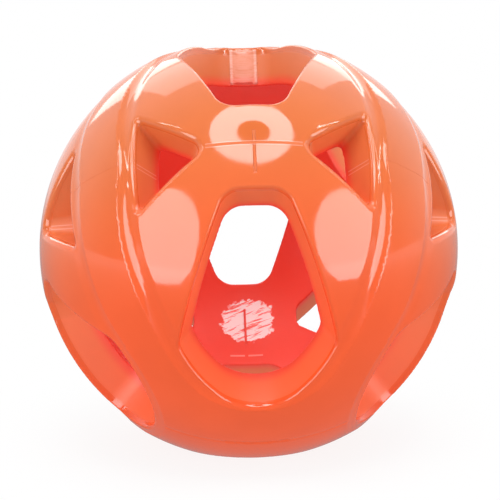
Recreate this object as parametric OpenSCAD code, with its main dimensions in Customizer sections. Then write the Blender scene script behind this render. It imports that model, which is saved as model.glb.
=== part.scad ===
// Treat dispensing ball: a hollow rubber ball whose wall is opened by bell shaped
// and three sided windows on four panels, parted by two raised ring bands.
// Lengths are in millimetres and angles in degrees.
// Origin at the ball's centre, +Z up, the front panel faces -Y and tilts upwards.
// The ball stands on the round rim of its lower rear bell window.

/* [Ball] */
// Outside diameter over the raised bands
ball_d = 90; // [70:1:120]
// Thickness of the ball's wall, from the cavity to the top of the bands
wall_t = 9.2; // [7:0.1:11]
// Angle from the front panel's centre down to the horizon as the ball stands
rest_tilt = 39; // [0:1:90]

/* [Raised bands] */
// Height of the ring bands above the panels
band_rise = 0.5; // [0.2:0.1:1.5]
// Width of the groove where the two ring bands meet
band_groove_w = 1; // [0.4:0.1:3]

/* [Front and rear panels] */
// Half angle of the panel about the seam
main_half_angle = 38.7; // [36:0.1:42]
// Angle from the panel's centre to the centre of its round ends
main_end_centre = 51; // [47:0.5:54]
// Half angle of the bell window's round mouth
main_bell_half = 21; // [15:0.5:22]
// Angle from the panel's centre to where the bell's straight sides meet the mouth
main_bell_switch = 44.4; // [40:0.1:46]
// Half width angle of the bell at its narrow end
main_bell_narrow = 8.5; // [6:0.5:10]
// Half width angle of the bell where its sides meet the mouth
main_bell_wide = 19.6; // [16:0.2:21]
// Angle from the panel's centre to the base of the three sided window
main_tri_base = 30.4; // [28:0.2:33]
// Half height angle of the three sided window at its base
main_tri_half = 13.3; // [9:0.1:15]

/* [Side panels] */
// Half angle of the panel about the seam
side_half_angle = 35.5; // [33:0.1:38]
// Angle from the panel's centre to the centre of its round ends
side_end_centre = 38.3; // [36:0.1:41]
// Half angle of the bell window's round mouth
side_bell_half = 23.7; // [18:0.1:24.5]
// Angle from the panel's centre to where the bell's straight sides meet the mouth
side_bell_switch = 43.9; // [41:0.1:46]
// Half width angle of the bell at its narrow end
side_bell_narrow = 9.2; // [6:0.1:10]
// Half width angle of the bell where its sides meet the mouth
side_bell_wide = 23; // [18:0.1:24]
// Angle from the panel's centre to the base of the three sided window
side_tri_base = 32; // [29:0.2:33]
// Half height angle of the three sided window at its base
side_tri_half = 14; // [9:0.1:15]

/* [Crossing at each panel's centre] */
// Half height of the crossing, from the seam to a bell's narrow end
node_half_h = 9.5; // [7:0.1:12]
// Half width of the crossing at the ball's surface
node_half_w = 10.7; // [8:0.1:13]
// Angle by which the crossing widens inwards at each side
node_taper = 5.8; // [0:0.1:12]
// Angle from the panel's centre to the tip that the window's two slopes aim at
tri_tip = 12.15; // [10:0.05:14]
// Half width of the flat at the narrow end of a front or rear bell
main_flat_half = 4.9; // [3:0.1:6]
// Half width of the flat at the narrow end of a side bell
side_flat_half = 6.3; // [4:0.1:7]
// Corner radius at the narrow end of a bell
bell_corner_r = 2.6; // [1:0.1:3]
// Corner angle at the base of the three sided window
tri_corner = 1.6; // [0.8:0.1:2.5]

/* [Bond seam] */
// Thickness of the bond layer between the two half shells
bond_t = 0.6; // [0.3:0.05:1.2]
// Depth of the bond layer below the surface around it
bond_recess = 0.2; // [0.1:0.05:0.4]

/* [Gate pad] */
// Width of the pad in the wide end of the upper front bell window
pad_w = 6; // [3:0.1:9]
// Height of the pad above the window's wall, as an angle at the ball's centre
pad_rise_angle = 0.5; // [0.3:0.05:1.5]
// Sideways offset of the pad
pad_shift = -0.6; // [-2:0.1:2]
// Distance of the pad from the wall's outer and inner surfaces
pad_inset = 0.4; // [0.2:0.1:2]

/* [Hidden] */
$fn = 96;
ball_r = ball_d / 2;
cavity_r = ball_r - wall_t;
// Angle between neighbouring panels' centres
quarter_turn = 90;
half_turn = 180;
// Angle at which the bells' side rays start, inside the crossing
bell_start = 6;
// Angle at which the bells' side rays end, past the mouth
bell_end = 75;
// Half width angle of the block that holds a side bell's straight part
side_block_half = quarter_turn / 2;
// Flat sides reach this share into a round end or corner, so that they meet at an angle
blend_share = 0.985;
// Height of the pad's lower limit as a share of the ball's radius
pad_low_share = 0.6;
// Cutters run from inside the cavity to well outside the ball
cut_near_share = 0.3;
cut_far_share = 1.3;
overrun_share = 0.1;
cut_near = ball_r * cut_near_share;
cut_far = ball_r * cut_far_share;
// Overrun of every flat cut past a face
overrun = ball_r * overrun_share;
// Side of a block that holds the whole ball
block = ball_d + overrun * 2;
main_end_half = asin(cos(main_end_centre) * sin(main_half_angle));
main_end_lat = atan(tan(main_end_centre) / cos(main_half_angle));
side_end_half = asin(cos(side_end_centre) * sin(side_half_angle));
side_end_lat = atan(tan(side_end_centre) / cos(side_half_angle));
rubber = [0.93, 0.36, 0.2];
bond_rubber = [0.9, 0.3, 0.17];

// Unit direction at an angle below the panel's centre, then sideways
function dir(down, side) =
    [sin(side), -cos(side) * cos(down), -cos(side) * sin(down)];

// Unit direction by turn about the seam's axis, then down towards the lower pole
function turn_dir(turn, down) =
    [cos(down) * sin(turn), -cos(down) * cos(turn), -sin(down)];

// Side angle of a bell's straight side, whose plane holds the ball's centre
function side_plane(narrow, wide, wide_at) =
    let (
        t1 = tan(narrow),
        t2 = tan(wide),
        b = (t2 * cos(bell_from) - t1 * cos(wide_at))
            / (sin(wide_at) * cos(bell_from) - sin(bell_from) * cos(wide_at)),
        a = (t1 - b * sin(bell_from)) / cos(bell_from)
    )
    [a, b];
// Angle at which the narrow half width angles are given
bell_from = 13;
function side_at(plane, down) = atan(plane[0] * cos(down) + plane[1] * sin(down));

function unit(v) = v / norm(v);
function total(list, last) = last < 0 ? [0, 0, 0] : list[last] + total(list, last - 1);

// A cutter with flat sides that all aim at the ball's centre, from a ring of
// directions given clockwise as seen from outside the ball
module ray_block(rays) {
    n = len(rays);
    middle = unit(total(rays, n - 1));
    near_ring = [for (r = rays) r * cut_near / (r * middle)];
    far_ring = [for (r = rays) r * cut_far / (r * middle)];
    polyhedron(
        points = concat(near_ring, far_ring),
        faces = concat(
            [[for (i = [n - 1:-1:0]) i]],
            [[for (i = [0:n - 1]) n + i]],
            [for (i = [0:n - 1]) [i, (i + 1) % n, n + (i + 1) % n, n + i]]
        )
    );
}

// A round cutter whose wall aims at the ball's centre
module ray_cone(along, half) {
    pitch = acos(along[2]);
    swing = atan2(along[1], along[0]);
    rotate([0, pitch, swing])
        translate([0, 0, cut_near])
            cylinder(
                h = cut_far - cut_near,
                r1 = cut_near * tan(half),
                r2 = cut_far * tan(half)
            );
}

// Panel outline about the front panel's centre: flat sides with round ends
module outline(half, end_centre, end_half, end_lat) {
    flat_half = asin(sin(half) * blend_share);
    ray_block([
        turn_dir(-flat_half, -end_lat),
        turn_dir(flat_half, -end_lat),
        turn_dir(flat_half, end_lat),
        turn_dir(-flat_half, end_lat)
    ]);
    ray_cone(dir(end_centre, 0), end_half);
    ray_cone(dir(-end_centre, 0), end_half);
}

module main_outline() {
    outline(main_half_angle, main_end_centre, main_end_half, main_end_lat);
}

module side_outline() {
    outline(side_half_angle, side_end_centre, side_end_half, side_end_lat);
}

// All four panel outlines and the groove where the ring bands meet
module panel_areas() {
    for (back = [0, half_turn]) {
        rotate([0, 0, back]) main_outline();
        rotate([0, 0, back + quarter_turn]) side_outline();
    }
    translate([-block / 2, -band_groove_w / 2, -block / 2])
        cube([block, band_groove_w, block]);
}

// Narrow end of a bell: a flat end with two round corners, running along the panel's normal
module narrow_end(flat_half) {
    corner_z = -node_half_h - bell_corner_r;
    translate([-block / 2, -block, corner_z - block])
        cube([block, block, block]);
    translate([-flat_half, -block, corner_z - overrun])
        cube([flat_half * 2, block, bell_corner_r * blend_share + overrun]);
    for (side = [-1, 1])
        translate([side * flat_half, 0, corner_z])
            rotate([90, 0, 0])
                cylinder(h = block, r = bell_corner_r);
}

// Flat sided part of a bell between two angles
module bell_sides(plane, from, to) {
    ray_block([
        dir(from, -side_at(plane, from)),
        dir(from, side_at(plane, from)),
        dir(to, side_at(plane, to)),
        dir(to, -side_at(plane, to))
    ]);
}

// Bell window of the front and rear panels, below the panel's centre
module main_bell() {
    plane = side_plane(main_bell_narrow, main_bell_wide, main_bell_switch);
    ray_cone(dir(main_end_centre, 0), main_bell_half);
    intersection() {
        bell_sides(plane, bell_start, main_bell_switch);
        narrow_end(main_flat_half);
    }
}

// Bell window of the side panels, below the panel's centre
module side_bell() {
    plane = side_plane(side_bell_narrow, side_bell_wide, side_bell_switch);
    intersection() {
        bell_sides(plane, bell_start, bell_end);
        narrow_end(side_flat_half);
        union() {
            ray_cone(dir(side_end_centre, 0), side_bell_half);
            ray_block([
                dir(bell_start, -side_block_half),
                dir(bell_start, side_block_half),
                dir(side_bell_switch, side_block_half),
                dir(side_bell_switch, -side_block_half)
            ]);
        }
    }
}

// Three sided window to the right of the panel's centre, with round base corners
module tri_window(base, half) {
    tip = turn_dir(tri_tip, 0);
    low = turn_dir(base, half);
    high = turn_dir(base, -half);
    n_low = unit(cross(tip, low));
    n_base = unit(cross(low, high));
    n_high = unit(cross(high, tip));
    low_c = corner_centre(n_low, n_base, low);
    high_c = corner_centre(n_base, n_high, high);
    intersection() {
        union() {
            ray_block([
                tip,
                foot(high_c, n_high),
                foot(high_c, n_base),
                foot(low_c, n_base),
                foot(low_c, n_low)
            ]);
            ray_cone(low_c, tri_corner);
            ray_cone(high_c, tri_corner);
        }
        translate([node_half_w, -ball_r, 0])
            rotate([0, 0, -node_taper])
                translate([0, -block / 2, -block / 2])
                    cube([block, block, block]);
    }
}

// Centre of a round corner between two flat sides
function corner_centre(n1, n2, corner) =
    let (
        a = sin(tri_corner) / (1 + n1 * n2),
        flat = a * (n1 + n2),
        up = unit(cross(n1, n2)),
        way = up * corner > 0 ? 1 : -1
    )
    flat + way * sqrt(1 - flat * flat) * up;

// Direction at which a round corner touches a flat side
function foot(centre, normal) =
    unit(centre - sin(tri_corner) * blend_share * normal);

// Bell and three sided windows of all four panels
module all_windows() {
    for (back = [0, half_turn], flip = [0, 1]) {
        rotate([0, 0, back]) {
            mirror([0, 0, flip]) main_bell();
            mirror([flip, 0, 0]) tri_window(main_tri_base, main_tri_half);
        }
        rotate([0, 0, back + quarter_turn]) {
            mirror([0, 0, flip]) side_bell();
            mirror([flip, 0, 0]) tri_window(side_tri_base, side_tri_half);
        }
    }
}

// Outer skin with its raised bands, at a depth below the finished surface
module skin(depth) {
    difference() {
        sphere(r = ball_r - depth);
        difference() {
            panel_areas();
            sphere(r = ball_r - band_rise - depth);
        }
    }
}

// Whole wall of the ball, with its windows
module wall(depth) {
    difference() {
        skin(depth);
        sphere(r = cavity_r);
        all_windows();
    }
}

// The slab that the bond layer fills, about the seam
module bond_slab() {
    translate([-block / 2, -block / 2, -bond_t / 2])
        cube([block, block, bond_t]);
}

// Everything on one side of the bond layer
module half_space() {
    translate([-block / 2, -block / 2, -block - bond_t / 2])
        cube([block, block, block]);
}

// Raised pad on the wide end of the upper front bell window
module gate_pad() {
    intersection() {
        difference() {
            ray_cone(dir(-main_end_centre, 0), main_bell_half + pad_rise_angle);
            ray_cone(dir(-main_end_centre, 0), main_bell_half - pad_rise_angle);
        }
        difference() {
            sphere(r = ball_r - band_rise - pad_inset);
            sphere(r = cavity_r + pad_inset);
        }
        translate([pad_shift - pad_w / 2, -ball_r, ball_r * pad_low_share])
            cube([pad_w, ball_r, ball_r]);
    }
}

module stand() {
    rotate([-rest_tilt, 0, 0]) children();
}

module lower_half_shell() {
    color(rubber)
        stand()
            intersection() {
                wall(0);
                half_space();
            }
}

module upper_half_shell() {
    color(rubber)
        stand()
            union() {
                intersection() {
                    wall(0);
                    mirror([0, 0, 1]) half_space();
                }
                gate_pad();
            }
}

module bond_seam() {
    color(bond_rubber)
        stand()
            intersection() {
                wall(bond_recess);
                bond_slab();
            }
}

lower_half_shell();
upper_half_shell();
bond_seam();
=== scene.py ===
"""Looks of a treat dispensing ball.

It is a hollow rubber ball with a relief of bands and panels, cut by eight bell shaped and eight
triangular windows. It is written as one distance field, in millimetres about the ball's centre, in
three axes of its own:
    n  through the middle of the front and rear panels
    d  through the poles, where the panels' ends meet; the halves are bonded on the plane d = 0
    x  through the middle of the left and right panels
The field is meshed, and the mesh is cut on the bonding plane into the two halves and the seam
between them.
"""

import math

import bmesh
import bpy
import numpy as np
from mathutils import Matrix, Vector


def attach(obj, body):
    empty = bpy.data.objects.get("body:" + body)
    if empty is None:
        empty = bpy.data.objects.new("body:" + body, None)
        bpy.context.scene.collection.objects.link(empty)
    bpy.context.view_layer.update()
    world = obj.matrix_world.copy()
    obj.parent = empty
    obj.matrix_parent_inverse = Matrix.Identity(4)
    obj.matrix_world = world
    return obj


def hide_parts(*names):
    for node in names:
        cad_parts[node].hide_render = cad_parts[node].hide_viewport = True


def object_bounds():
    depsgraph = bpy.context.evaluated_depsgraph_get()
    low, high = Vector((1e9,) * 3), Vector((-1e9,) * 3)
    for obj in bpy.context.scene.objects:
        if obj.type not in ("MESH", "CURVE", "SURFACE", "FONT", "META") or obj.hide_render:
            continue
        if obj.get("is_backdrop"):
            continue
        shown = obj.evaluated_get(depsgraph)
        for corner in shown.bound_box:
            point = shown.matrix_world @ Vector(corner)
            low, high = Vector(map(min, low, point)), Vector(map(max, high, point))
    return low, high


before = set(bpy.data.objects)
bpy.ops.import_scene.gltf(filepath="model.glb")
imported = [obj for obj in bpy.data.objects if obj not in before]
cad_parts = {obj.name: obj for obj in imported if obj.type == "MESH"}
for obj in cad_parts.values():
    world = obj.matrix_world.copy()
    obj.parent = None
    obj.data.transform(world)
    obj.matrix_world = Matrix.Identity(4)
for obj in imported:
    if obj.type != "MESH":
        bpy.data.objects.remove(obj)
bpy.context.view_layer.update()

MM = 0.001  # metres in a millimetre

# ---------------------------------------------------------------- the ball's own axes
REST_TILT = math.radians(39)  # how far the front panel looks up as the ball rests
AXIS_N = np.array([0, -math.cos(REST_TILT), math.sin(REST_TILT)])
AXIS_D = np.array([0, -math.sin(REST_TILT), -math.cos(REST_TILT)])
AXIS_X = np.array([1.0, 0, 0])
TO_WORLD = np.array([AXIS_N, AXIS_D, AXIS_X]) * MM  # a row (n, d, x) times this is a place in metres

# ---------------------------------------------------------------- sizes, millimetres and degrees
BALL_R = 45.0  # to the top of the bands
WALL = 9.2
INNER_R = BALL_R - WALL

# the relief: a band's shoulder goes down to a valley, which rises again to the panel
PANEL_DROP = 0.4  # how far the panels lie below the bands
VALLEY_DROP, SHOULDER_W = 0.75, 1.9
SIDE_VALLEY_DROP, SIDE_SHOULDER_W = 0.5, 2.6  # gentler on the left and right panels
SHOULDER_CREST = 0.08  # share of the shoulder that its crest takes
VALLEY_W = 2.3  # from the edge to where the valley starts to rise
LIP_W = 2.4
GROOVE_HALF = 0.5  # the parting groove on the plane n = 0

# the front and rear panels: half angle at the waist, what it gains and over what latitude, and the
# latitude and half angle of the round end
MAIN_HALF, MAIN_SPREAD, MAIN_FLARE = 36.8, 2.4, 14.0
MAIN_END, MAIN_END_HALF = 51.0, 23.3
# the left and right panels: what the half angle loses per degree of latitude, and up to which one
SIDE_HALF, SIDE_TAPER, SIDE_TAPER_TO = 39.5, 0.095, 35
SIDE_END, SIDE_END_HALF = 38.3, 27.1

# a bell window's narrow end: its height above the waist at the surface, and how it leans in
BELL_LOW, REAR_BELL_LOW = 9.6, 13.1  # the second is for the lower bell of the rear panel
BELL_DRAFT = 4.5
BELL_CORNER = 2.6
# longitude and half width of points on its edge: the straight side, and the arc of its wide end
MAIN_BELL_SIDE_POINTS = ((16.5, 9.5), (54.6, 21.0))
MAIN_BELL_END_POINTS = ((54.6, 21.2), (64.5, 15.2), (71.2, 8.5))
UPPER_BELL_END_POINTS = ((44.5, 19.2), (60.0, 14.2), (71.0, 7.8))  # the upper front bell, with the gate pad
MAIN_BELL_ROUND = 0.5
MAIN_BELL_TOE, UPPER_BELL_TOE = 8.0, 10.0  # the rounding where the arcs of both sides meet
SIDE_BELL_SIDE_POINTS = ((13.0, 9.8), (43.9, 23.0))
SIDE_BELL_END, SIDE_BELL_HALF = 38.3, 23.7
SIDE_BELL_END_FROM = 30  # the longitude from which on the arc bounds it
SIDE_BELL_ROUND = 1.2

NODE_HALF, NODE_TAPER = 10.7, 5.8  # half width of the crossing in a panel's middle, and how it widens inwards
TRI_TIP = 12.15  # where a triangular window's sloping sides meet
TRI_BASE_OPEN = 1.3  # how much further out the base lies at the surface than inside
TRI_DRAFT = 5.0  # how the sloping sides lean in
MAIN_TRI_BASE, MAIN_TRI_HALF = 31.5, 13.3
SIDE_TRI_BASE, SIDE_TRI_HALF = 32.0, 14.0
TRI_ROUND, NODE_ROUND = 1.4, 0.8

BELL_FILLET, TRI_FILLET, INNER_FILLET = 0.5, 1.2, 0.35

PAD_HALF = 3.05  # half width of the gate pad
PAD_RISE = 0.45  # how far it stands out of the bell's wall
PAD_INSET, PAD_EDGE = 0.5, 0.25  # how far it stays off the ball's faces, and the width of its edge
PAD_DEEP, PAD_FADE = 3, 2  # how far below the wall the field allows for it, and over what depth that fades

SEAM_HALF = 0.3  # half the thickness of the bond between the halves
SEAM_RECESS = 0.03  # how far its sides lie below the rubber's

CELL = 0.45  # the mesh's cell


# ---------------------------------------------------------------- the distance field
def ray(lon, lat):
    """The unit vector at a longitude and latitude, degrees, in a panel's axes: out, along, across."""
    lon, lat = math.radians(lon), math.radians(lat)
    return np.array([math.cos(lon) * math.cos(lat), math.sin(lon) * math.cos(lat), math.sin(lat)])


def unit(v):
    return v / np.linalg.norm(v)


def soft_max(a, b, r):
    """The larger of two distances, with the corner between them rounded to radius r."""
    return np.minimum(np.maximum(a, b), -r) + np.hypot(np.maximum(a + r, 0), np.maximum(b + r, 0))


def smooth(t):
    """0 below 0, 1 above 1 and a smooth step between."""
    t = np.clip(t, 0, 1)
    return t * t * (3 - 2 * t)


def cone(p, r, centre, half):
    """Distance outside a cone from the ball's centre, whose axis and half angle may differ by point."""
    cosine = np.clip((p * centre).sum(axis=1) / r, -1, 1)
    return r * np.sin(np.clip(np.arccos(cosine) - np.radians(half), -math.pi / 2, math.pi / 2))


def plane_through(a, b):
    """Normal of the plane through the ball's centre and two points, away from the panel's middle."""
    normal = unit(np.cross(ray(*a), ray(*b)))
    return normal * np.sign(normal[2])


def cone_through(a, b, c):
    """Axis and half angle of the cone from the ball's centre through three points."""
    a, b, c = ray(*a), ray(*b), ray(*c)
    axis = unit(np.cross(b - a, c - a))
    axis = axis * np.sign(axis @ a)
    return axis, math.degrees(math.acos(axis @ a))


MAIN_BELL_SIDE = plane_through(*MAIN_BELL_SIDE_POINTS)
MAIN_BELL_ARCS = cone_through(*MAIN_BELL_END_POINTS), cone_through(*UPPER_BELL_END_POINTS)
ARC_AXES, ARC_HALVES = (np.array(part) for part in zip(*MAIN_BELL_ARCS))
ARC_TOES = np.array([MAIN_BELL_TOE, UPPER_BELL_TOE])
SIDE_BELL_AXIS = ray(SIDE_BELL_END, 0)
SIDE_BELL_SIDE = plane_through(*SIDE_BELL_SIDE_POINTS)


def low_end(p, low):
    """Distance outside a bell's narrow end."""
    lean = math.radians(BELL_DRAFT)
    return (low - (BALL_R - p[:, 0]) * math.tan(lean) - p[:, 1]) * math.cos(lean)


def main_bell(p, r, front, upper):
    """Distance outside a front or rear panel's bell window.

    Each row of p is a point in the panel's axes: out, along, across. front says whether it is the
    front panel's, and upper whether it is the panel's upper half's.
    """
    which = (front & upper).astype(int)
    axis, half, toe = ARC_AXES[which], ARC_HALVES[which], ARC_TOES[which]
    end = soft_max(cone(p, r, axis, half), cone(p, r, axis * np.array([1, 1, -1]), half), toe)
    end = np.where(p[:, 1] > BELL_LOW + toe, end, -toe)
    sides = soft_max(p @ MAIN_BELL_SIDE, end, MAIN_BELL_ROUND)
    return soft_max(sides, low_end(p, np.where(front | upper, BELL_LOW, REAR_BELL_LOW)), BELL_CORNER)


def side_bell(p, r):
    """Distance outside a left or right panel's bell window."""
    past = r * np.sin(np.arctan2(p[:, 1], p[:, 0]) - math.radians(SIDE_BELL_END_FROM))
    end = np.minimum(cone(p, r, SIDE_BELL_AXIS, SIDE_BELL_HALF), past)
    sides = soft_max(p @ SIDE_BELL_SIDE, end, SIDE_BELL_ROUND)
    return soft_max(sides, low_end(p, BELL_LOW), BELL_CORNER)


def triangle(p, r, base, half):
    """Distance outside a triangular window, given the longitude of its base and half its width."""
    # here the window lies across, so the longitude runs from out to across and the latitude along
    tip = ray(TRI_TIP, 0)[[0, 2, 1]]
    corner = ray(base, half)[[0, 2, 1]]
    slope = unit(np.cross(tip, corner))
    slope = slope * np.sign(slope[1])
    side = p @ slope + (BALL_R - r) * math.tan(math.radians(TRI_DRAFT))
    low = INNER_R * ray(base, 0)
    along = unit(BALL_R * ray(base + TRI_BASE_OPEN, 0) - low)
    past_base = (p[:, 2] - low[1]) * along[0] - (p[:, 0] - low[0]) * along[1]
    taper = math.radians(NODE_TAPER)
    node = (NODE_HALF + (BALL_R - p[:, 0]) * math.tan(taper) - p[:, 2]) * math.cos(taper)
    return soft_max(soft_max(side, past_base, TRI_ROUND), node, NODE_ROUND)


def panel_edge(p, r, half, end, end_half):
    """Distance outside a panel's outline, whose half angle at each point is half, in degrees."""
    flat = np.hypot(p[:, 0], p[:, 2])
    side = flat * np.sin(np.arctan2(p[:, 2], p[:, 0]) - np.radians(half))
    axis = ray(end, 0)
    touch = math.asin(math.sin(math.radians(end_half)) / axis[0])
    # the round end holds past the plane through its axis and the line where the side touches it
    switch = np.cross(axis, (-math.sin(touch), 0, math.cos(touch)))
    switch = switch * np.sign(switch[1])
    return np.where(p @ switch > 0, cone(p, r, axis, end_half), side)


def relief(b, on_side):
    """Height over the band's top at a distance b outside the panels: a shoulder, a valley and a lip."""
    drop = np.where(on_side, SIDE_VALLEY_DROP, VALLEY_DROP)
    down = np.clip(-b / np.where(on_side, SIDE_SHOULDER_W, SHOULDER_W), 0, 1)
    down = down * down / (down + SHOULDER_CREST) * (1 + SHOULDER_CREST)
    valley = -drop * (1 - (1 - down) ** 2)
    panel = (drop - PANEL_DROP) * (1 - smooth((b + VALLEY_W + LIP_W) / LIP_W))
    return valley + panel


def edge_distance(m, s, r):
    """Distance outside the nearest panel's outline, and whether that is a left or right panel's."""
    lat = np.degrees(np.arcsin(np.clip(m[:, 1] / r, 0, 1)))
    main_half = MAIN_HALF + MAIN_SPREAD * (1 - np.exp(-((lat / MAIN_FLARE) ** 2)))
    side_half = SIDE_HALF - SIDE_TAPER * np.minimum(lat, SIDE_TAPER_TO)
    on_main = panel_edge(m, r, main_half, MAIN_END, MAIN_END_HALF)
    on_side = panel_edge(s, r, side_half, SIDE_END, SIDE_END_HALF)
    return np.minimum(np.minimum(on_main, on_side), m[:, 0] - GROOVE_HALF), on_side < on_main


def pad(p, m, r, wall):
    """How far the gate pad stands out of the bell's wide end at each point."""
    x = p[:, 2]
    ends = PAD_HALF - np.abs(x)
    faces = np.minimum(BALL_R - PANEL_DROP - r, r - INNER_R) - PAD_INSET
    there = smooth(np.minimum(ends, faces) / PAD_EDGE)
    upper_front = (p[:, 0] > 0) & (p[:, 1] < 0) & (m[:, 1] > m[:, 0])
    return np.where(upper_front, PAD_RISE * there * smooth((wall + PAD_DEEP) / PAD_FADE), 0)


def field(p):
    """Distance outside the ball's rubber, in millimetres. Each row of p is a point: n, d, x."""
    r = np.linalg.norm(p, axis=1)
    m = np.abs(p)  # in the front panel's axes
    s = m[:, ::-1]  # in the right panel's
    skin = r - BALL_R - relief(*edge_distance(m, s, r))
    bore = INNER_R - r
    wall = main_bell(m, r, p[:, 0] > 0, p[:, 1] < 0)
    wall = wall + pad(p, m, r, wall)
    bells = np.minimum(wall, side_bell(s, r))
    solid = soft_max(skin, -bells, BELL_FILLET)
    for q, base, half in ((m, MAIN_TRI_BASE, MAIN_TRI_HALF), (s, SIDE_TRI_BASE, SIDE_TRI_HALF)):
        window = triangle(q, r, base, half)
        solid = np.maximum(solid, soft_max(skin, -window, TRI_FILLET))
        bells = np.minimum(bells, window)
    return np.maximum(solid, soft_max(bore, -bells, INNER_FILLET))


def gradient(p, step=0.02):
    """The field's slope by central differences."""
    g = np.empty_like(p)
    for axis in range(3):
        shift = np.zeros(3)
        shift[axis] = step
        g[:, axis] = (field(p + shift) - field(p - shift)) / (2 * step)
    return g


# ---------------------------------------------------------------- meshing
def corner_values(n_half):
    """The field at the cells' corners, worked out near the rubber in the right half, and mirrored."""
    ticks = (np.arange(-n_half, n_half) + 0.5) * CELL
    a, b, c = np.meshgrid(ticks, ticks, ticks[n_half:], indexing="ij")
    p = np.stack([a.ravel(), b.ravel(), c.ravel()], axis=1)
    r = np.linalg.norm(p, axis=1)
    values = np.where(r < BALL_R, INNER_R - r, r - BALL_R)
    near = (r > INNER_R - 2 * CELL) & (r < BALL_R + 2 * CELL)
    values[near] = field(p[near])
    values = values.reshape(a.shape)
    return np.concatenate([np.flip(values, 2), values], 2)


def surface_net():
    """Vertices and quads of the field's zero surface: one vertex in each cell that it crosses."""
    n_half = int(BALL_R / CELL) + 3
    values = corner_values(n_half)
    count = 2 * n_half
    origin = -(n_half - 0.5) * CELL
    inside = values < 0

    total = np.zeros((count - 1,) * 3 + (3,))
    crossings = np.zeros((count - 1,) * 3)
    for axis in range(3):
        lo = [slice(None)] * 3
        hi = [slice(None)] * 3
        lo[axis], hi[axis] = slice(0, count - 1), slice(1, count)
        v0, v1 = values[tuple(lo)], values[tuple(hi)]
        cross = inside[tuple(lo)] != inside[tuple(hi)]
        at = np.where(cross, v0 / np.where(cross, v0 - v1, 1), 0)
        others = [k for k in range(3) if k != axis]
        for da in (0, 1):
            for db in (0, 1):
                take = [slice(None)] * 3
                take[others[0]] = slice(da, count - 1 + da)
                take[others[1]] = slice(db, count - 1 + db)
                hit = cross[tuple(take)]
                crossings += hit
                total[..., axis] += np.where(hit, at[tuple(take)], 0)
                total[..., others[0]] += hit * da
                total[..., others[1]] += hit * db
    active = crossings > 0
    index = np.full(active.shape, -1)
    index[active] = np.arange(active.sum())
    cells = np.argwhere(active)
    verts = origin + CELL * (cells + total[active] / crossings[active][:, None])

    quads = []
    for axis in range(3):
        others = [k for k in range(3) if k != axis]
        lo = [slice(1, count - 1)] * 3
        hi = [slice(1, count - 1)] * 3
        lo[axis], hi[axis] = slice(0, count - 1), slice(1, count)
        a_in, b_in = inside[tuple(lo)], inside[tuple(hi)]
        edges = np.argwhere(a_in != b_in)
        starts_in = a_in[tuple(edges.T)]
        for other in others:
            edges[:, other] += 1
        ring = []
        for da, db in ((1, 1), (0, 1), (0, 0), (1, 0)):
            cell = edges.copy()
            cell[:, others[0]] -= da
            cell[:, others[1]] -= db
            ring.append(index[tuple(cell.T)])
        quad = np.stack(ring, axis=1)
        flip = starts_in if axis == 1 else ~starts_in
        quad[flip] = quad[flip][:, ::-1]
        quads.append(quad)
    return verts, np.concatenate(quads)


LEAST_SLOPE = math.sqrt(0.2)  # where the field is flatter than this, it counts as this steep


def settle(p, rounds=4):
    """Moves points onto the field's zero surface."""
    p = p.copy()
    for _ in range(rounds):
        value, g = field(p), gradient(p)
        step = g * (value / np.maximum((g * g).sum(axis=1), LEAST_SLOPE**2))[:, None]
        size = np.linalg.norm(step, axis=1)
        p -= step * np.minimum(1, 0.5 * CELL / np.maximum(size, 1e-9))[:, None]
    return p


def cut_slab(verts, quads, low, high):
    """A bmesh of what lies between the planes d = low and d = high, with its cuts closed.

    None is no plane. The faces that close a cut have material index 1.
    """
    bm = bmesh.new()
    keep = np.ones(len(verts), bool)
    if low is not None:
        keep &= verts[:, 1] > low - 3 * CELL
    if high is not None:
        keep &= verts[:, 1] < high + 3 * CELL
    used = np.flatnonzero(keep)
    place = {old: bm.verts.new(verts[old]) for old in used}
    for quad in quads[keep[quads].all(axis=1)]:
        bm.faces.new([place[i] for i in quad])
    for height, sign in ((low, -1), (high, 1)):
        if height is None:
            continue
        geom = bm.verts[:] + bm.edges[:] + bm.faces[:]
        cut = bmesh.ops.bisect_plane(
            bm, geom=geom, dist=1e-5, plane_co=(0, height, 0), plane_no=(0, sign, 0), clear_outer=True
        )
        rim = [e for e in cut["geom_cut"] if isinstance(e, bmesh.types.BMEdge) and e.is_boundary]
        made = bmesh.ops.edgeloop_fill(bm, edges=rim)["faces"]
        for face in made:
            face.material_index = 1
            if face.normal.y * sign < 0:
                face.normal_flip()
    bm.normal_update()
    return bm


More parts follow.
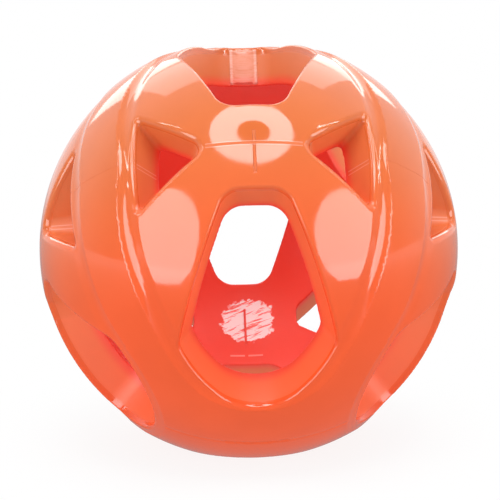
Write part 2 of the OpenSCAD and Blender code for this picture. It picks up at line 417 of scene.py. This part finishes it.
def add_piece(name, bm, material, recess=0.0):
    """Makes the object of one cut piece, smooth by the field's own slope and flat on its cuts.

    recess is how far its sides are set back, in millimetres.
    """
    mesh = bpy.data.meshes.new(name)
    bm.to_mesh(mesh)
    bm.free()
    count = len(mesh.vertices)
    p = np.empty(count * 3)
    mesh.vertices.foreach_get("co", p)
    p = p.reshape(count, 3)
    g = gradient(p)
    if recess:
        in_plane = g * np.array([1, 0, 1])
        p = p - in_plane / np.maximum(np.linalg.norm(in_plane, axis=1), 1e-6)[:, None] * recess
    normals = g / np.maximum(np.linalg.norm(g, axis=1), 1e-6)[:, None]
    axes = TO_WORLD / MM
    mesh.vertices.foreach_set("co", (p @ TO_WORLD).ravel())
    mesh.update()

    kind = np.empty(len(mesh.polygons), int)
    mesh.polygons.foreach_get("material_index", kind)
    cap = kind == 1
    mesh.polygons.foreach_set("material_index", np.zeros(len(kind), int))
    corner_vertex = np.empty(len(mesh.loops), int)
    mesh.loops.foreach_get("vertex_index", corner_vertex)
    corners = (normals @ axes)[corner_vertex]
    sizes = np.empty(len(kind), int)
    mesh.polygons.foreach_get("loop_total", sizes)
    on_cap = np.repeat(cap, sizes)
    face_normal = np.empty(len(kind) * 3)
    mesh.polygons.foreach_get("normal", face_normal)
    corners[on_cap] = np.repeat(face_normal.reshape(-1, 3), sizes, axis=0)[on_cap]
    mesh.shade_smooth()
    mesh.normals_split_custom_set(corners)

    piece = bpy.data.objects.new(name, mesh)
    bpy.context.scene.collection.objects.link(piece)
    mesh.materials.append(material)
    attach(piece, "root")
    return piece


# ---------------------------------------------------------------- materials
RUBBER = (0.68, 0.173, 0.047, 1)
RUBBER_PAINTED_LOW_SHADE = (0.92, 0.118, 0.028, 1)  # painted shade towards the lower pole: redder and less green, as where less light falls and more comes through the rubber
LOW_FROM, LOW_TO = -10, 34  # places along d between which the one turns into the other
RUBBER_PAINTED_INNER_SHADE = (0.84, 0.070, 0.032, 1)  # the walls inside: painted shade, a deeper red where little light reaches inside the ball
# pale colour for the scuffs on the gate pad, and for painted highlights along the seam's edges and on a fine
# line inside
RUBBER_SCUFFS_AND_HIGHLIGHTS = (0.95, 0.55, 0.46, 1)
# the patch's scratches, painted pale as a glint
RUBBER_SCRATCHES_AND_GLINT = (0.88, 0.82, 0.82, 1)
MOTTLE_SCALE, MOTTLED = 60, 0.95  # a noise's scale per metre, and how dark its dark places are
NOISE_STEP, WIDE_NOISE_STEP = (0.35, 0.65), (0.3, 0.7)  # the values of a noise that are drawn out to a full step
# light that comes through the rubber: on the walls inside, on the windows' walls and outside
GLOW_INSIDE = (0.4, 0.012, 0.008, 1)
GLOW_WALL = (0.45, 0.11, 0.045, 1)
GLOW_OUTSIDE = (0.32, 0.01, 0.006, 1)
GLOW_STRENGTH = 0.25

SHINY, LESS_SHINY, SHINE_SCALE = 0.05, 0.1, 180  # the skin's roughness, and the scale of its change
WALL_ROUGHNESS, PARTING_ROUGHNESS = 0.38, 0.8  # what the windows' walls and the parting lines add
RUBBER_IOR = 1.6
PEEL_SCALE, PEEL_DEPTH = 220, 0.02  # the orange peel, in millimetres deep
SCRATCH_DEPTH, PARTING_DEPTH = 0.05, 0.2  # millimetres

# where the rubber changes, in millimetres from the ball's middle
INSIDE_TO_SKIN = (INNER_R, INNER_R + 3)
INNER_FACE_ENDS = (INNER_R + 0.1, INNER_R + 0.5)
WALLS_END = (BALL_R - 2.6, BALL_R - 1.2)

# the gate pad: where it lies along d and n and from the middle, how much less its rim is scuffed,
# and the streaks on it, as noise per metre along and across them
PAD_D, PAD_N, PAD_DISTANCE = (-BALL_R, -0.72 * INNER_R), (5, 20), (INNER_R + 0.4, BALL_R - 0.6)
PAD_BORDER, PAD_RIM_FROM, PAD_RIM_TO, PAD_RIM_LEVEL = 0.3, 0.9, 0.5, 0.4
STREAK_SCALES = (90, 2600)
STREAK_STEP, STREAK_LEAST = (0.3, 0.6), 0.45

# the scratched patch inside the rear crossing, with a ragged edge and streaks that run at a tilt: the scratches
# are the rubber's own, their pale colour and glow a painted glint
PATCH_D, PATCH_X, PATCH_HALF_D, PATCH_HALF_X = 0.3, 0.5, 5.8, 6.1
PATCH_RAGGED_SCALE, PATCH_RAGGED, PATCH_EDGE = 700, 0.6, (1.22, 1.3)
PATCH_N = (-20, -10)  # it fades in between these places along n
PATCH_TILT, PATCH_STREAK_SCALES = 0.4, (200, 1500)
PATCH_STREAK_STEP, PATCH_STREAK_LEAST = (0.38, 0.5), 0.1
LEDGE_D, LEDGE_X = (9.3, 9.75), (0.4, 3.7)  # a fine raised line below the patch, drawn only as a painted highlight

# the mould's parting line on the plane x = 0, over the crossings: how wide it is, and how long
PARTING_EDGE = (0.15, 0.35)
PARTING_D, PARTING_END = 1.8, (4.4, 4.8)
CROSSING_HALF = 9.6  # how far from the middle the front crossing's parting lines run
SEAM_EDGE_ON_WALL, SEAM_EDGE_ON_CROSSING = 0.52, 0.5  # how far from the seam's middle its painted highlights reach
SEAM_EDGE_DISTANCE = (INNER_R + 1, BALL_R - 2)  # from the ball's middle, on the windows' walls
# how strongly highlights are painted in the pale colour on the seam's edges and on the fine line below the patch
SEAM_EDGE_PAINTED_HIGHLIGHT, LEDGE_PAINTED_HIGHLIGHT = 0.4, 0.6


class Nodes:
    """A short way to write a material's node tree, with the places on the ball that it needs."""

    def __init__(self, name):
        self.material = bpy.data.materials.new(name)
        self.material.use_nodes = True
        self.tree = self.material.node_tree
        self.shader = self.tree.nodes["Principled BSDF"]
        self.coord = self.add("ShaderNodeTexCoord").outputs["Object"]
        self.from_middle = self.length(self.coord)
        self.along_n = self.dot(self.coord, AXIS_N)
        self.along_d = self.dot(self.coord, AXIS_D)
        self.along_x = self.dot(self.coord, AXIS_X)
        self.off_d = self.math("ABSOLUTE", self.along_d)
        self.off_x = self.math("ABSOLUTE", self.along_x)

    def add(self, kind, **settings):
        node = self.tree.nodes.new(kind)
        for key, value in settings.items():
            setattr(node, key, value)
        return node

    def link(self, source, target):
        """Links a socket to a node's input, or sets the input to a number or colour."""
        if isinstance(source, bpy.types.NodeSocket):
            self.tree.links.new(source, target)
        else:
            target.default_value = source

    def math(self, kind, a, b=0.0):
        node = self.add("ShaderNodeMath", operation=kind)
        self.link(a, node.inputs[0])
        self.link(b, node.inputs[1])
        return node.outputs[0]

    def product(self, first, *others):
        for other in others:
            first = self.math("MULTIPLY", first, other)
        return first

    def dot(self, vector, axis):
        node = self.add("ShaderNodeVectorMath", operation="DOT_PRODUCT")
        self.link(vector, node.inputs[0])
        node.inputs[1].default_value = axis
        return node.outputs["Value"]

    def length(self, vector):
        node = self.add("ShaderNodeVectorMath", operation="LENGTH")
        self.link(vector, node.inputs[0])
        return node.outputs["Value"]

    def between(self, value, low, high):
        """1 between two limits in millimetres and 0 outside them."""
        above = self.math("GREATER_THAN", value, low * MM)
        return self.product(above, self.math("LESS_THAN", value, high * MM))

    def ramp(self, value, low, high, start=0.0, end=1.0):
        """A smooth step from start to end as value goes from low to high."""
        node = self.add("ShaderNodeMapRange", interpolation_type="SMOOTHSTEP")
        self.link(value, node.inputs["Value"])
        for name, number in (("From Min", low), ("From Max", high), ("To Min", start), ("To Max", end)):
            node.inputs[name].default_value = number
        return node.outputs["Result"]

    def ramp_mm(self, value, low, high, start=0.0, end=1.0):
        """The same with its limits in millimetres."""
        return self.ramp(value, low * MM, high * MM, start, end)

    def noise(self, per_metre, detail=2.0, roughness=0.5, where=None):
        node = self.add("ShaderNodeTexNoise")
        self.link(where or self.coord, node.inputs["Vector"])
        node.inputs["Scale"].default_value = per_metre
        node.inputs["Detail"].default_value = detail
        node.inputs["Roughness"].default_value = roughness
        return node.outputs["Fac"]

    def streaks(self, a, b, c, along, across):
        """A noise drawn out along the first axis: it has its own scale, per metre, along and across it."""
        join = self.add("ShaderNodeCombineXYZ")
        for socket, value, scale in zip(join.inputs, (a, b, c), (along, across, across)):
            self.link(self.product(value, scale), socket)
        return self.noise(1, 3, 0.6, join.outputs[0])

    def mix(self, amount, a, b):
        node = self.add("ShaderNodeMix", data_type="RGBA")
        self.link(amount, node.inputs[0])
        self.link(a, node.inputs[6])
        self.link(b, node.inputs[7])
        return node.outputs[2]

    def bump(self, height, distance, normal=None):
        node = self.add("ShaderNodeBump")
        node.inputs["Distance"].default_value = distance * MM
        self.link(height, node.inputs["Height"])
        if normal is not None:
            self.link(normal, node.inputs["Normal"])
        return node.outputs["Normal"]


def pad_place(n):
    """1 on the gate pad and 0 elsewhere."""
    across = n.ramp_mm(n.off_x, PAD_HALF - PAD_BORDER, PAD_HALF, 1, 0)
    places = ((n.along_d, PAD_D), (n.along_n, PAD_N), (n.from_middle, PAD_DISTANCE))
    return n.product(across, *(n.between(value, *limits) for value, limits in places))


def patch_place(n, inner_face):
    """1 on the scratched patch, where a glint is painted, and 0 elsewhere, with a ragged edge."""
    d = n.math("DIVIDE", n.math("SUBTRACT", n.along_d, PATCH_D * MM), PATCH_HALF_D * MM)
    x = n.math("DIVIDE", n.math("SUBTRACT", n.along_x, PATCH_X * MM), PATCH_HALF_X * MM)
    off = n.math("SQRT", n.math("ADD", n.product(d, d), n.product(x, x)))
    ragged = n.math("ADD", off, n.product(n.noise(PATCH_RAGGED_SCALE, 3), PATCH_RAGGED))
    return n.product(n.ramp(ragged, *PATCH_EDGE, 1, 0), inner_face, n.ramp_mm(n.along_n, *PATCH_N, 1, 0))


def patch_scratches(n):
    """How strongly the patch's scratches carry its painted glint, in streaks that run at a tilt."""
    along = n.math("SUBTRACT", n.along_x, n.product(n.along_d, PATCH_TILT))
    across = n.math("ADD", n.along_d, n.product(n.along_x, PATCH_TILT))
    streaks = n.streaks(along, across, n.along_n, *PATCH_STREAK_SCALES)
    return n.ramp(streaks, *PATCH_STREAK_STEP, PATCH_STREAK_LEAST, 1)


def seam_edges(n, in_crossing):
    """1 on the seam's edges, where highlights are painted, on the windows' walls and on the front crossing."""
    beside_seam = n.math("LESS_THAN", n.off_d, SEAM_EDGE_ON_WALL * MM)
    on_wall = n.product(n.between(n.from_middle, *SEAM_EDGE_DISTANCE), beside_seam)
    on_crossing = n.product(in_crossing, n.between(n.off_d, SEAM_HALF, SEAM_EDGE_ON_CROSSING))
    return n.math("MAXIMUM", on_wall, on_crossing)


def rubber(name, is_seam):
    """Glossy translucent rubber, with faint mottling, orange peel, scratches inside, the scuffed gate
    pad and the mould's parting lines; with painted shade lower down and on the walls inside, painted
    highlights along the seam's edges and a fine line, and a painted glint on the scratched patch.
    is_seam leaves out the marks that lie beside the seam.
    """
    n = Nodes(name)
    outside = n.ramp_mm(n.from_middle, *INSIDE_TO_SKIN)
    inner_face = n.ramp_mm(n.from_middle, *INNER_FACE_ENDS, 1, 0)
    on_walls = n.ramp_mm(n.from_middle, *WALLS_END, 1, 0)
    in_front = n.math("GREATER_THAN", n.along_n, 0)
    in_crossing = n.product(in_front, n.math("LESS_THAN", n.off_x, CROSSING_HALF * MM))
    past_end = n.ramp_mm(n.math("ABSOLUTE", n.math("SUBTRACT", n.along_d, PARTING_D * MM)), *PARTING_END)
    beside_line = n.math("MAXIMUM", n.ramp_mm(n.off_x, *PARTING_EDGE), past_end)
    in_pad = pad_place(n)
    streaks = n.streaks(n.along_x, n.along_d, n.along_n, *STREAK_SCALES)

    # colour
    mottle = n.ramp(n.noise(MOTTLE_SCALE, 3), *NOISE_STEP, 1, MOTTLED)
    # painted shade: the rubber turns redder and darker in green towards the lower pole
    skin = n.mix(n.ramp_mm(n.along_d, LOW_FROM, LOW_TO), RUBBER, RUBBER_PAINTED_LOW_SHADE)
    skin = n.mix(mottle, (0, 0, 0, 1), skin)
    rim = n.ramp_mm(n.off_x, PAD_HALF - PAD_RIM_FROM, PAD_HALF - PAD_RIM_TO, PAD_RIM_LEVEL, 1)
    scuffs_and_highlights = n.product(in_pad, rim, n.ramp(streaks, *STREAK_STEP, STREAK_LEAST, 1))
    if not is_seam:
        at_rear = n.math("LESS_THAN", n.along_n, 0)
        # painted highlight along the fine line below the patch
        painted_ledge_highlight = n.product(n.between(n.along_d, *LEDGE_D), n.between(n.off_x, *LEDGE_X), inner_face, at_rear)
        # painted highlight along the seam's edges, in the pale colour
        scuffs_and_highlights = n.math("MAXIMUM", scuffs_and_highlights, n.product(seam_edges(n, in_crossing), SEAM_EDGE_PAINTED_HIGHLIGHT))
        scuffs_and_highlights = n.math("MAXIMUM", scuffs_and_highlights, n.product(painted_ledge_highlight, LEDGE_PAINTED_HIGHLIGHT))
    # painted shade on the walls inside the ball
    colour = n.mix(scuffs_and_highlights, n.mix(outside, RUBBER_PAINTED_INNER_SHADE, skin), RUBBER_SCUFFS_AND_HIGHLIGHTS)
    # painted glint on the patch's scratches, pale in colour
    scratches_and_glint = n.product(patch_place(n, inner_face), beside_line, patch_scratches(n))
    n.link(n.mix(scratches_and_glint, colour, RUBBER_SCRATCHES_AND_GLINT), n.shader.inputs["Base Color"])
    glow = n.mix(outside, GLOW_INSIDE, n.mix(on_walls, GLOW_OUTSIDE, GLOW_WALL))
    # the patch glows pale too, as a painted glint
    n.link(n.mix(scratches_and_glint, glow, RUBBER_SCRATCHES_AND_GLINT), n.shader.inputs["Emission Color"])
    n.shader.inputs["Emission Strength"].default_value = GLOW_STRENGTH

    # gloss
    roughness = n.ramp(n.noise(SHINE_SCALE, 4), *WIDE_NOISE_STEP, SHINY, LESS_SHINY)
    roughness = n.math("ADD", roughness, n.product(on_walls, WALL_ROUGHNESS))
    dull = in_crossing if is_seam else n.product(in_crossing, n.math("SUBTRACT", 1, beside_line))
    n.link(n.math("ADD", roughness, n.product(dull, PARTING_ROUGHNESS)), n.shader.inputs["Roughness"])
    n.shader.inputs["IOR"].default_value = RUBBER_IOR

    # relief
    normal = n.bump(n.noise(PEEL_SCALE, 2), PEEL_DEPTH)
    normal = n.bump(n.product(n.math("MAXIMUM", inner_face, in_pad), streaks), SCRATCH_DEPTH, normal)
    if not is_seam:
        normal = n.bump(beside_line, PARTING_DEPTH, normal)
    n.link(normal, n.shader.inputs["Normal"])
    return n.material


shell_rubber = rubber("shell_rubber", False)
seam_rubber = rubber("seam_rubber", True)

# ---------------------------------------------------------------- the pieces
net_points, net_quads = surface_net()
net_points = settle(net_points)


def make_piece(name, node, low, high, material, recess=0.0):
    """Makes the piece between two planes d = low and d = high, in place of a node."""
    piece = add_piece(name, cut_slab(net_points, net_quads, low, high), material, recess)
    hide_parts(node)


make_piece("upper_half", "upper_half_shell", None, -SEAM_HALF, shell_rubber)
make_piece("lower_half", "lower_half_shell", SEAM_HALF, None, shell_rubber)
make_piece("seam_strip", "bond_seam", -SEAM_HALF, SEAM_HALF, seam_rubber, SEAM_RECESS)


# ---------------------------------------------------------------- floor, lights and camera
WORLD_LIGHT = 0.18  # how bright the world lights the ball
GLOSS_FRONT, GLOSS_BACK = 0.3, 1.0  # what the gloss shows in front of the ball and behind it
GLOSS_TURN = (-0.2, 0.6)  # between which places along Y the one turns into the other

FLOOR_RADIUS = 3  # metres, as are all the floor's distances
FLOOR_GAP = 0.05 * MM
FLOOR_COLOUR = (0.88, 0.88, 0.88, 1)
FLOOR_ROUGHNESS = 0.9
FLOOR_WHITE = 0.88  # how far the camera sees it plain white under the ball
FLOOR_SHADOW_FROM, FLOOR_SHADOW_TO = 0.02, 0.07  # past this distance from the middle it is all white
FLOOR_LIGHT = 0.85  # how bright it lights the ball
FLOOR_IN_GLOSS = 0.3  # how bright the gloss shows it near the ball: further away it turns white there too
FLOOR_GLOSS_FROM, FLOOR_GLOSS_TO = 0.12, 0.7

# the photograph's camera, found from the windows' corners: its direction in the axes n, d and x, how
# far it is turned about its own axis, and its distance and place off that axis in millimetres
CAMERA_LON, CAMERA_LAT, CAMERA_ROLL = 27.513, -2.271, -1.308
CAMERA_DISTANCE, CAMERA_RIGHT, CAMERA_UP = 450, 0.28, -0.43
CAMERA_LENS, CAMERA_SENSOR = 151.16, 36


def map_range(tree, value, low, high, start=0.0, end=1.0, kind="SMOOTHSTEP"):
    """A step from start to end as value goes from low to high."""
    node = tree.nodes.new("ShaderNodeMapRange")
    node.interpolation_type = kind
    tree.links.new(value, node.inputs["Value"])
    for name, number in (("From Min", low), ("From Max", high), ("To Min", start), ("To Max", end)):
        node.inputs[name].default_value = number
    return node.outputs["Result"]


def add_world():
    """White for the camera. In the gloss it is dim in front of the ball and white behind it."""
    world = bpy.data.worlds.new("studio")
    bpy.context.scene.world = world
    world.use_nodes = True
    tree = world.node_tree
    back = tree.nodes["Background"]
    back.inputs["Color"].default_value = (1, 1, 1, 1)
    split = tree.nodes.new("ShaderNodeSeparateXYZ")
    tree.links.new(tree.nodes.new("ShaderNodeTexCoord").outputs["Generated"], split.inputs[0])
    in_gloss = map_range(tree, split.outputs["Y"], *GLOSS_TURN, GLOSS_FRONT, GLOSS_BACK)
    path = tree.nodes.new("ShaderNodeLightPath")
    level = WORLD_LIGHT
    for ray_kind, there in (("Is Glossy Ray", in_gloss), ("Is Camera Ray", 1), ("Is Transmission Ray", 1)):
        choose = tree.nodes.new("ShaderNodeMix")
        tree.links.new(path.outputs[ray_kind], choose.inputs[0])
        for value, socket in ((level, choose.inputs[2]), (there, choose.inputs[3])):
            if isinstance(value, bpy.types.NodeSocket):
                tree.links.new(value, socket)
            else:
                socket.default_value = value
        level = choose.outputs[0]
    tree.links.new(level, back.inputs["Strength"])


def face_ball(holder, azimuth, elevation, distance):
    """Puts an object somewhere round the ball, facing it. Azimuth 0 is in front and 90 on the right."""
    a, e = math.radians(azimuth), math.radians(elevation)
    out = Vector((math.sin(a) * math.cos(e), -math.cos(a) * math.cos(e), math.sin(e)))
    holder.location = out * distance
    holder.rotation_euler = out.to_track_quat("Z", "Y").to_euler()
    bpy.context.scene.collection.objects.link(holder)


def add_softbox(name, place, size, radiance, shape="RECTANGLE", lights=True, in_gloss=True):
    """A softbox that faces the ball.

    place is its azimuth, elevation and distance, and size its width and height, in degrees and metres.
    radiance is what a mirror would show. Without lights it doesn't light the ball, and without in_gloss
    it doesn't show in the ball's gloss.
    """
    width, height = size
    lamp = bpy.data.lights.new(name, "AREA")
    lamp.shape = shape
    lamp.size, lamp.size_y = width, height
    area = width * height * (math.pi / 4 if shape == "ELLIPSE" else 1)
    lamp.energy = radiance * math.pi * area
    holder = bpy.data.objects.new(name, lamp)
    holder.visible_diffuse, holder.visible_glossy = lights, in_gloss
    face_ball(holder, *place)


def disc(name, radius, segments, width=1, height=1):
    """A flat round object with a material of its own, and that material's node tree."""
    bm = bmesh.new()
    bmesh.ops.create_circle(bm, cap_ends=True, radius=radius, segments=segments)
    bmesh.ops.scale(bm, vec=(width, height, 1), verts=bm.verts)
    mesh = bpy.data.meshes.new(name)
    bm.to_mesh(mesh)
    bm.free()
    material = bpy.data.materials.new(name)
    material.use_nodes = True
    mesh.materials.append(material)
    return bpy.data.objects.new(name, mesh), material.node_tree


def add_flag(name, place, size):
    """A black card between a softbox and the ball: a dark spot in the softbox's reflection."""
    card, tree = disc(name, 0.5, 48, *size)
    tree.nodes["Principled BSDF"].inputs["Base Color"].default_value = (0.02, 0.02, 0.02, 1)
    card.visible_camera = False
    face_ball(card, *place)
    card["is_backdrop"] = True


def add_floor():
    """A pale floor that fades to white: it shows only the ball's faint shadow."""
    floor, tree = disc("floor", FLOOR_RADIUS, 96)
    floor.location.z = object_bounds()[0].z - FLOOR_GAP
    bpy.context.scene.collection.objects.link(floor)
    shader = tree.nodes["Principled BSDF"]
    shader.inputs["Base Color"].default_value = FLOOR_COLOUR
    shader.inputs["Roughness"].default_value = FLOOR_ROUGHNESS
    shader.inputs["Specular IOR Level"].default_value = 0.0
    far = tree.nodes.new("ShaderNodeVectorMath")
    far.operation = "LENGTH"
    tree.links.new(tree.nodes.new("ShaderNodeTexCoord").outputs["Object"], far.inputs[0])
    distance = far.outputs["Value"]
    path = tree.nodes.new("ShaderNodeLightPath")
    white = map_range(tree, distance, FLOOR_SHADOW_FROM, FLOOR_SHADOW_TO, FLOOR_WHITE)
    seen_white = tree.nodes.new("ShaderNodeMath")
    seen_white.operation = "MULTIPLY"
    tree.links.new(white, seen_white.inputs[0])
    tree.links.new(path.outputs["Is Camera Ray"], seen_white.inputs[1])
    in_gloss = map_range(tree, distance, FLOOR_GLOSS_FROM, FLOOR_GLOSS_TO, FLOOR_IN_GLOSS, kind="LINEAR")
    surface = shader.outputs[0]
    for amount, strength in (
        (path.outputs["Is Glossy Ray"], in_gloss),
        (path.outputs["Is Diffuse Ray"], FLOOR_LIGHT),
        (seen_white.outputs[0], 1),
    ):
        plain = tree.nodes.new("ShaderNodeEmission")
        if isinstance(strength, bpy.types.NodeSocket):
            tree.links.new(strength, plain.inputs["Strength"])
        else:
            plain.inputs["Strength"].default_value = strength
        choose = tree.nodes.new("ShaderNodeMixShader")
        tree.links.new(amount, choose.inputs[0])
        tree.links.new(surface, choose.inputs[1])
        tree.links.new(plain.outputs[0], choose.inputs[2])
        surface = choose.outputs[0]
    tree.links.new(surface, tree.nodes["Material Output"].inputs["Surface"])
    floor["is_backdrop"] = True


def add_camera():
    """The camera, looking at the ball. toward points from the ball to it."""
    toward = ray(CAMERA_LON, CAMERA_LAT)
    level = ray(CAMERA_LON, CAMERA_LAT + 90)
    roll = math.radians(CAMERA_ROLL)
    right = level * math.cos(roll) + np.cross(toward, level) * math.sin(roll)
    toward, right = unit(toward @ TO_WORLD), unit(right @ TO_WORLD)
    up = np.cross(toward, right)
    place = (CAMERA_DISTANCE * toward + CAMERA_RIGHT * right + CAMERA_UP * up) * MM
    lens = bpy.data.cameras.new("camera")
    lens.sensor_width, lens.lens = CAMERA_SENSOR, CAMERA_LENS
    lens.clip_start, lens.clip_end = 0.05, 20
    camera = bpy.data.objects.new("camera", lens)
    rows = [[*row, at] for row, at in zip(np.array([right, up, toward]).T, place)]
    camera.matrix_world = Matrix(rows + [[0, 0, 0, 1]])
    bpy.context.scene.collection.objects.link(camera)
    bpy.context.scene.camera = camera


add_world()
for side, azimuth, elevation, size in (("left", -47, 13, (0.207, 0.267)), ("right", 52.5, 11.5, (0.225, 0.237))):
    add_softbox(side, (azimuth, elevation, 0.3), size, 2.5, "ELLIPSE")
    # a little behind the first, because two lamps in one plane hide each other
    add_softbox(side + "_gloss", (azimuth, elevation, 0.303), size, 2.0, "ELLIPSE", lights=False)
add_softbox("left_strip", (-83, 44, 0.6), (0.026, 0.34), 14)
add_softbox("right_strip", (83, 44, 0.6), (0.026, 0.34), 14)
add_softbox("rear", (180, 48, 0.6), (0.6, 0.3), 1.5)
add_softbox("rear_fill", (180, 6, 0.6), (0.8, 0.5), 1.1, in_gloss=False)
add_softbox("left_rear", (-158, 24, 0.6), (0.22, 0.15), 2.7)
add_softbox("right_rear", (158, 24, 0.6), (0.22, 0.15), 2.7)
add_softbox("above", (5, 74, 0.6), (0.40, 0.41), 6.6, "ELLIPSE")
add_flag("above_middle", (8, 73, 0.55), (0.14, 0.14))
add_floor()
add_camera()
bpy.context.scene.view_settings.view_transform = "Standard"
